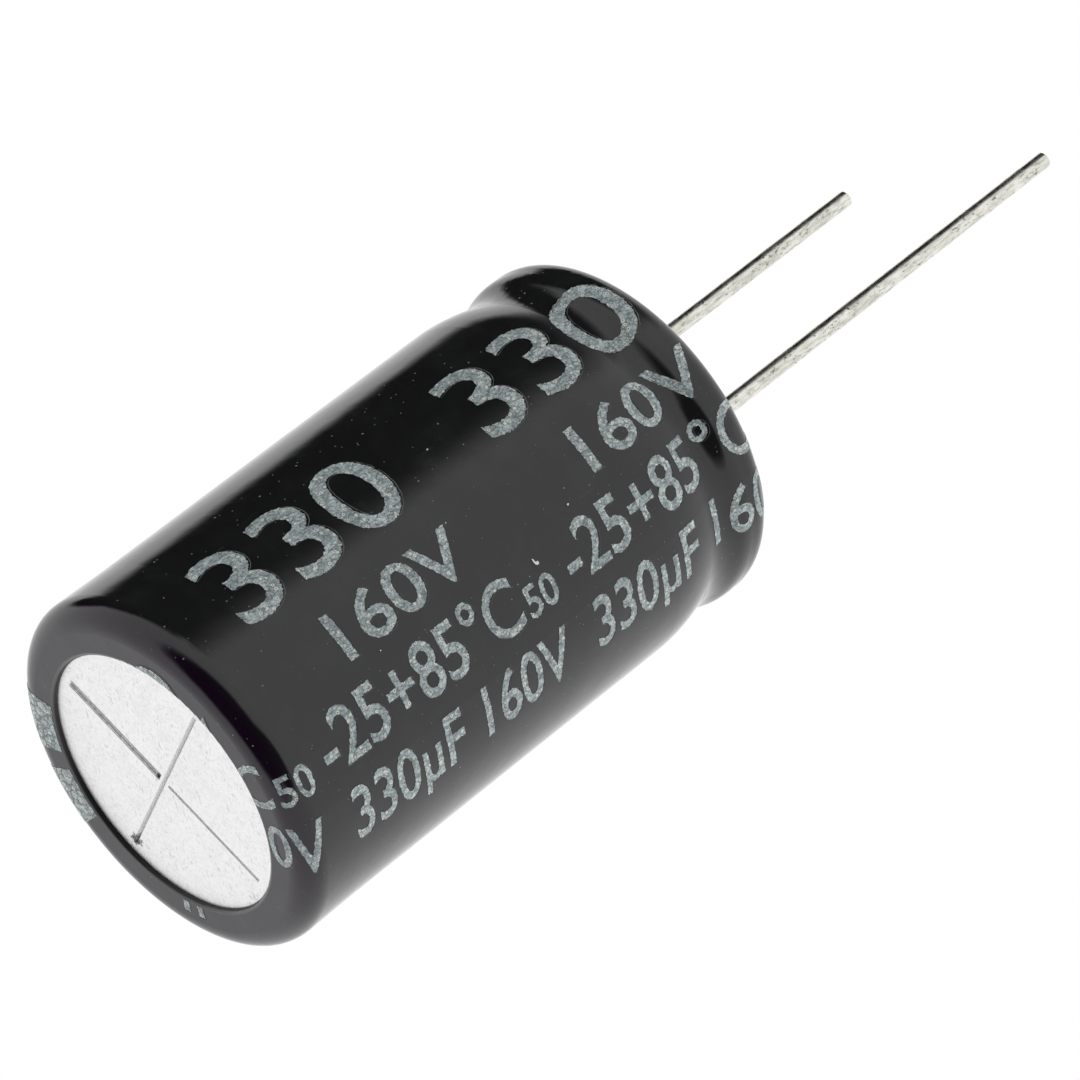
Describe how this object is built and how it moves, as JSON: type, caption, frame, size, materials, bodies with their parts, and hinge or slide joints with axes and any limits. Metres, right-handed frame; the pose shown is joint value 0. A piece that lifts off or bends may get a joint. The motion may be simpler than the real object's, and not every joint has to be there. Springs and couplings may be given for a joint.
{
  "type": "electrolytic capacitor",
  "caption": "Radial aluminium electrolytic capacitor: sleeved can with a scored vent end, rolled bead, rubber end seal, wound foil element and unequal wire leads.",
  "frame": {"origin": "centre of the vent end, on the plane of the sleeve's folded edge, which the part stands on", "axes": "+Z along the can's axis from the vent end to the leads; +X from the axis to the positive lead"},
  "size_m": [0.0184, 0.0184, 0.0569],
  "materials": {
    "sleeve_film": "black heat-shrunk film, semi-gloss, with pale grey print",
    "can_aluminium": "bare drawn aluminium, satin",
    "seal_rubber": "black moulded rubber, matt",
    "tinned_wire": "bright tin plate over steel-cored wire",
    "tab_aluminium": "bare aluminium, cold formed",
    "anode_foil": "etched and formed foil, matt grey",
    "cathode_foil": "lightly etched foil, satin grey",
    "separator_paper": "kraft separator paper, damp with electrolyte",
    "element_tape": "thin self-adhesive tape"
  },
  "bodies": {
    "root": {"sleeve": "sleeve_film", "can": "can_aluminium", "end_seal": "seal_rubber", "positive_lead": "tinned_wire", "negative_lead": "tinned_wire", "positive_tab": "tab_aluminium", "negative_tab": "tab_aluminium", "anode_foil": "anode_foil", "cathode_foil": "cathode_foil", "separator_paper_inner": "separator_paper", "separator_paper_outer": "separator_paper", "element_tape": "element_tape"}
  },
  "joints": []
}
